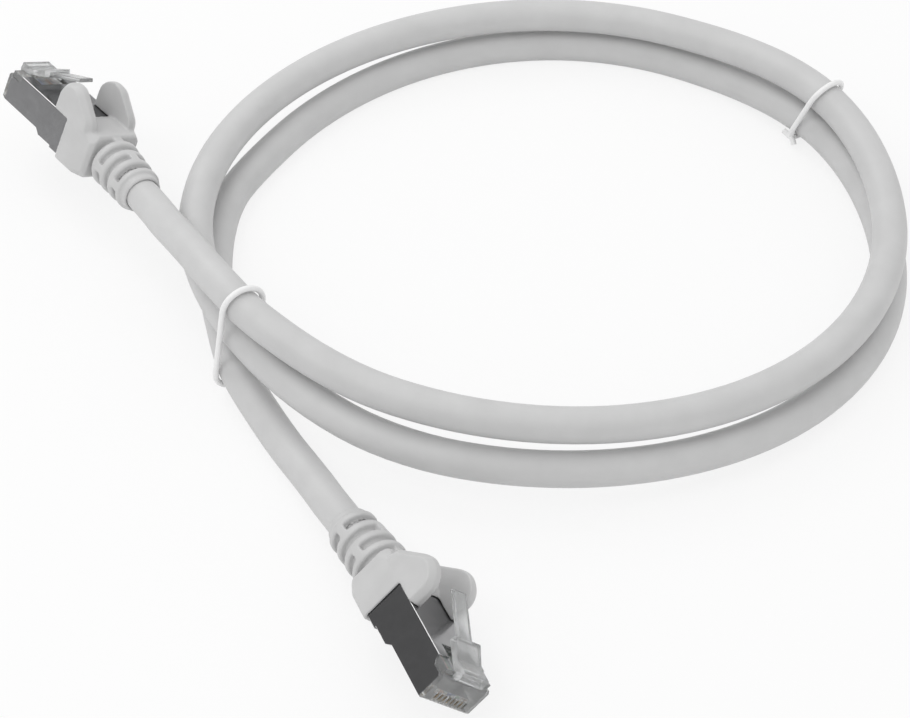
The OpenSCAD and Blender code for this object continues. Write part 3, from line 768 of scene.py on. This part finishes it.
class PATCHCABLE_OT_ties(bpy.types.Operator):
    """Make the two thin plastic ties round the coil, each closed by a twist"""

    bl_idname = "patchcable.ties"
    bl_label = "Ties"

    def execute(self, context):
        size = context.scene.patch_cord
        front = [Vector(ROUTE_B[FRONT_TIE_B]), coil_point(FRONT_TIE_TURN), Vector(ROUTE_A[FRONT_TIE_A])]
        back = [coil_point(turns) for turns in BACK_TIE_TURNS]
        material = tie_material(size.tie_colour)
        tree = tube_tree("Plastic tie", material, floor=True)
        ties = zip(("tie_front", "tie_back"), (front, back), TIE_HEADINGS, TWIST_BESIDE, TWIST_ANGLES)
        for name, centres, heading, beside, angle in ties:
            lines = self.lines(centres, heading, beside, angle)
            curve = add_line("round_" + name, lines, closed=1, taper=TWIST_TAPER)
            tie = run_tree(curve, tree, diameter=size.tie_diameter, sides=20)
            smooth_shade(tie, CAP_ANGLE)
            dress(tie, material, (name,))
        return {"FINISHED"}

    @staticmethod
    def lines(centres, heading, beside, angle):
        """The tight loop round cords that cross its leaning plane, and the twist beside one of them."""
        turn = math.radians(heading)
        along = Vector((math.cos(turn), math.sin(turn), 0))
        across = Vector((-math.sin(turn), math.cos(turn), 0))
        way = centres[-1] - centres[0]
        lean = 0 if len(centres) > 2 else math.atan(way.dot(along) / way.z)
        up = Vector((0, 0, math.cos(lean))) + math.sin(lean) * along
        outward = across.cross(up)
        middle = (centres[0] + centres[-1]) / 2
        flat = [((c - middle).dot(across), (c - middle).dot(up)) for c in centres]
        r = CORD_R * (1 - LEAN_SHARE + LEAN_SHARE / math.cos(lean)) + TIE_SLACK + TIE_D / 2

        def at(u, v, w=0):
            return (middle + u * across + v * up + w * outward) * MM

        loop = []
        for i, (u, v) in enumerate(flat):
            before = (u - flat[i - 1][0], v - flat[i - 1][1])
            nxt = flat[(i + 1) % len(flat)]
            start = math.degrees(math.atan2(before[1], before[0])) - 90
            bend = (math.degrees(math.atan2(nxt[1] - v, nxt[0] - u)) - 90 - start + 720) % 360
            steps = max(2, math.ceil(bend / TIE_STEP))
            for k in range(steps + 1):
                a = math.radians(start + bend * k / steps)
                loop.append(at(u + r * math.cos(a), v + r * math.sin(a)))
        out = Vector((math.cos(math.radians(angle)), math.sin(math.radians(angle))))
        root = Vector(flat[beside]) + (CORD_R + TIE_SLACK + TWIST_ROOT * TIE_D) * out
        knots = []
        for away, rise, w in TWIST_KNOTS:
            knot = root + away * out
            knots.append(at(knot.x, knot.y + rise, w))
        return [loop, smooth_line(knots, TWIST_STEPS)]


class PATCHCABLE_OT_boots(bpy.types.Operator):
    """Round the moulded boots over both plugs"""

    bl_idname = "patchcable.boots"
    bl_label = "Boots"

    def execute(self, context):
        size = context.scene.patch_plug
        material = moulded_plastic("boot", size.boot_colour, 0.42)
        for side in SIDES:
            boot = solid_copy(f"boot_{side}", f"moulded_boot_{side}")
            remesh = boot.modifiers.new("even mesh", "REMESH")
            remesh.mode, remesh.voxel_size = "VOXEL", size.boot_grain
            soften = boot.modifiers.new("soft edges", "SMOOTH")
            soften.factor, soften.iterations = SOFTEN_FACTOR, SOFTEN_STEPS
            boot = settle(boot)
            smooth_shade(boot)
            dress(boot, material, (f"boot_{side}",))
        return {"FINISHED"}


class PATCHCABLE_OT_plugs(bpy.types.Operator):
    """Finish the clear bodies, latches, shields and contacts of both plugs"""

    bl_idname = "patchcable.plugs"
    bl_label = "Plugs"

    def execute(self, context):
        size = context.scene.patch_plug
        clear = clear_material("clear_plastic", size.clear_colour, 0.2)
        tin = shield_material("tinned_shield", size.shield_colour)
        gold = Finish("gold_contact", size.contact_colour, 0.22, Metallic=1.0)
        gold.rough(gold.span(gold.noise(1500, 3), 0.16, 0.32))
        for side in SIDES:
            axes = plug_axes(side)
            inverse = axes.inverted()

            def folded(a, b):
                a, b = ((inverse @ p) / MM for p in (a, b))
                outer = min(abs(a.y), abs(b.y)) > FOLD_SIDE and abs(a.x - b.x) > FOLD_LENGTH
                return outer and (min(a.z, b.z) > FOLD_TOP or max(a.z, b.z) < FOLD_BOTTOM)

            for node, body, material, slot, edge, fold in (
                ("plug_body", "cable", clear, "clear_plastic", size.edge, None),
                ("latch", f"latch_{side}", clear, "clear_plastic", size.edge, None),
                ("shield", "cable", tin, "tinned_shield", size.fold, folded),
            ):
                piece = solid_copy(f"{node}_{side}", f"finished_{node}_{side}")
                round_edges(piece, edge, fold)
                piece = settle(piece)
                # The mask of the painted highlight on the shield's rounded folds and edges
                if fold:
                    mark_painted_sheen(piece, axes)
                dress(piece, material, (f"{node}_{side}",), body)
            paint_node(f"contacts_{side}", gold.material)
        return {"FINISHED"}


class PATCHCABLE_OT_inside(bpy.types.Operator):
    """Finish the load bars, conductors, crimp collars and braid inside the plugs"""

    bl_idname = "patchcable.inside"
    bl_label = "Inside of the plugs"

    def execute(self, context):
        size = context.scene.patch_plug
        guide = moulded_plastic("guide_plastic", (0.82, 0.82, 0.78), 0.4)
        wire = wire_material()
        tree = tube_tree("Conductors", wire)
        tin = shield_material("crimp_band", (0.5, 0.5, 0.51))
        braid = Finish("braid", (0.45, 0.42, 0.38), 0.4, Metallic=0.9)
        weave = braid.node("ShaderNodeTexWave", wave_type="BANDS", bands_direction="DIAGONAL")
        weave.inputs["Scale"].default_value = 900
        braid.link(braid.place, weave.inputs["Vector"])
        # The colour follows the same bands as the bump, darker where the bump sinks: painted shade in the grooves
        # of the weave
        braid.colour(braid.between(weave.outputs["Fac"], (0.25, 0.24, 0.22), (0.6, 0.57, 0.52)))
        braid.bump(weave.outputs["Fac"], 0.00008, 0.8)
        for side in SIDES:
            curve = add_line(f"insulated_conductors_{side}", self.conductor_lines(side))
            wires = run_tree(curve, tree, diameter=size.wire_diameter, sides=16)
            smooth_shade(wires, CAP_ANGLE)
            dress(wires, wire, (f"conductors_{side}",))
            paint_node(f"load_bar_{side}", guide)
            paint_node(f"crimp_collar_{side}", tin)
            paint_node(f"braid_end_{side}", braid.material)
        return {"FINISHED"}

    @staticmethod
    def conductor_lines(side):
        """Eight runs from below the contacts, through the load bar, to the two rows of the core."""
        place = plug_axes(side)
        lines = []
        for i in range(CONDUCTORS):
            place_in_row = i - (CONDUCTORS - 1) / 2
            core_z = CORE_ROW_Z if i % 2 == 0 else -CORE_ROW_Z
            knots = [Vector((x, place_in_row * CONTACT_PITCH, FLAT_ROW_Z)) for x in FLAT_ROW_X]
            knots += [Vector((x, place_in_row * CORE_PITCH, core_z)) for x in CORE_ROW_X]
            lines.append([place @ (p * MM) for p in smooth_line(knots, LINE_STEPS)])
        return lines


class PATCHCABLE_PT_panel(bpy.types.Panel):
    """Sizes, colours and steps of the patch cable"""

    bl_idname = "PATCHCABLE_PT_panel"
    bl_label = "Patch cable"
    bl_space_type = "VIEW_3D"
    bl_region_type = "UI"
    bl_category = "Patch cable"

    def draw(self, context):
        layout = self.layout
        for group in (context.scene.patch_cord, context.scene.patch_plug, context.scene.patch_stage):
            box = layout.box()
            for label in group.bl_rna.properties.keys():
                if label not in {"rna_type", "name"}:
                    box.prop(group, label)
        for step in STEPS:
            layout.operator(step.bl_idname)


STEPS = (
    PATCHCABLE_OT_stage, PATCHCABLE_OT_cord, PATCHCABLE_OT_ties, PATCHCABLE_OT_boots, PATCHCABLE_OT_plugs,
    PATCHCABLE_OT_inside,
)
GROUPS = (PATCHCABLE_PG_cord, PATCHCABLE_PG_plug, PATCHCABLE_PG_stage)


def register():
    for item in (*GROUPS, *STEPS, PATCHCABLE_PT_panel):
        bpy.utils.register_class(item)
    bpy.types.Scene.patch_cord = PointerProperty(type=PATCHCABLE_PG_cord)
    bpy.types.Scene.patch_plug = PointerProperty(type=PATCHCABLE_PG_plug)
    bpy.types.Scene.patch_stage = PointerProperty(type=PATCHCABLE_PG_stage)


def unregister():
    del bpy.types.Scene.patch_cord, bpy.types.Scene.patch_plug, bpy.types.Scene.patch_stage
    for item in reversed((*GROUPS, *STEPS, PATCHCABLE_PT_panel)):
        bpy.utils.unregister_class(item)


def main():
    register()
    bpy.context.scene.view_settings.view_transform = "Standard"
    bpy.ops.patchcable.stage()
    bpy.ops.patchcable.cord()
    bpy.ops.patchcable.ties()
    bpy.ops.patchcable.boots()
    bpy.ops.patchcable.plugs()
    bpy.ops.patchcable.inside()


if __name__ == "__main__":
    main()
